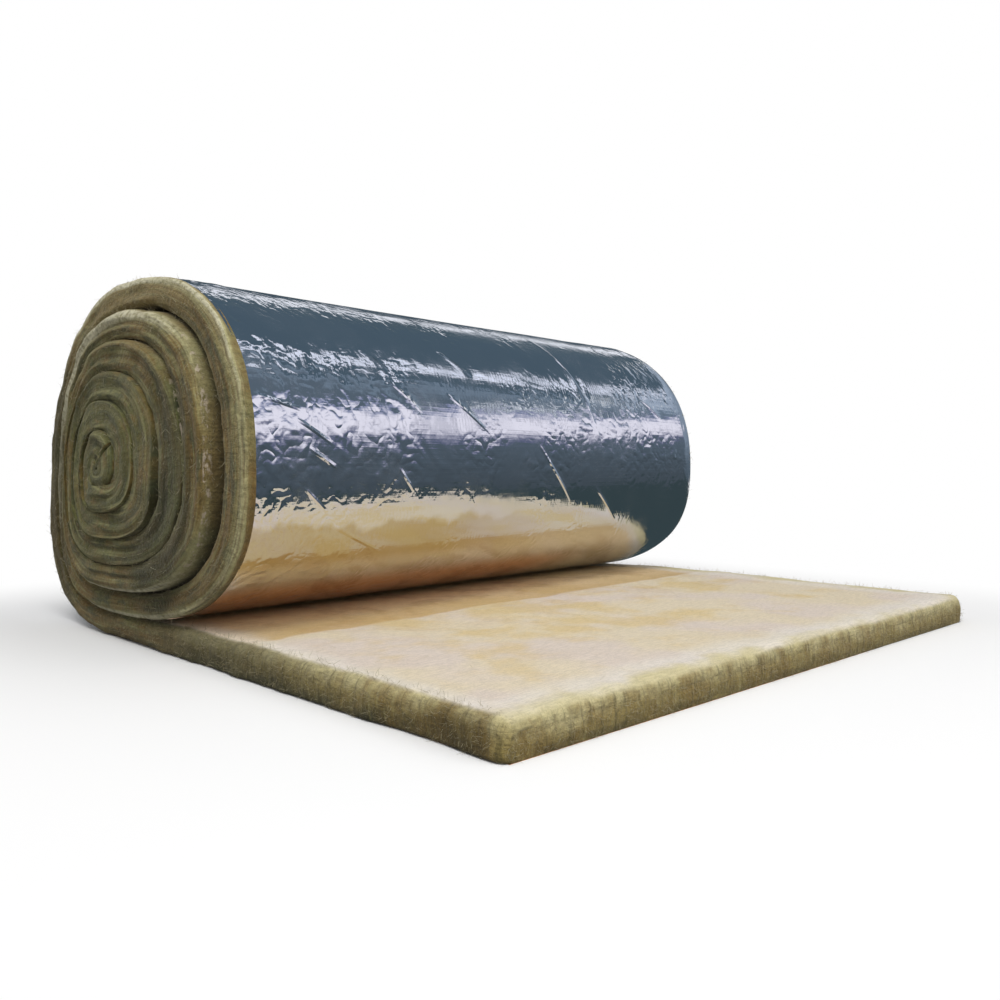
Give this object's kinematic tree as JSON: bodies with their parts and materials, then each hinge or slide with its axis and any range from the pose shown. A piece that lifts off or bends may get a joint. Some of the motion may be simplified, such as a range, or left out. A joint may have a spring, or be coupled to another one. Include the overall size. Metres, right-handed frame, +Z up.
{
  "type": "foil-faced glass wool insulation roll",
  "caption": "Foil-faced glass wool insulation blanket wound into a loose roll, with its free end laid out flat in front.",
  "frame": {"origin": "on the floor, under the middle of the whole roll and flap", "axes": "+Z up; +X from the roll towards the blanket's free end; Y along the roll's axis, with the loosely wound end that the core has slid out of at -Y"},
  "size_m": [1.2438, 1.24, 0.5896],
  "materials": {
    "glass_wool": "fibrous, matt",
    "foil": "bright, finely wrinkled, with a scrim grid"
  },
  "bodies": {
    "root": {"glass_wool_blanket": "glass_wool", "foil_facing": "foil"}
  },
  "joints": []
}
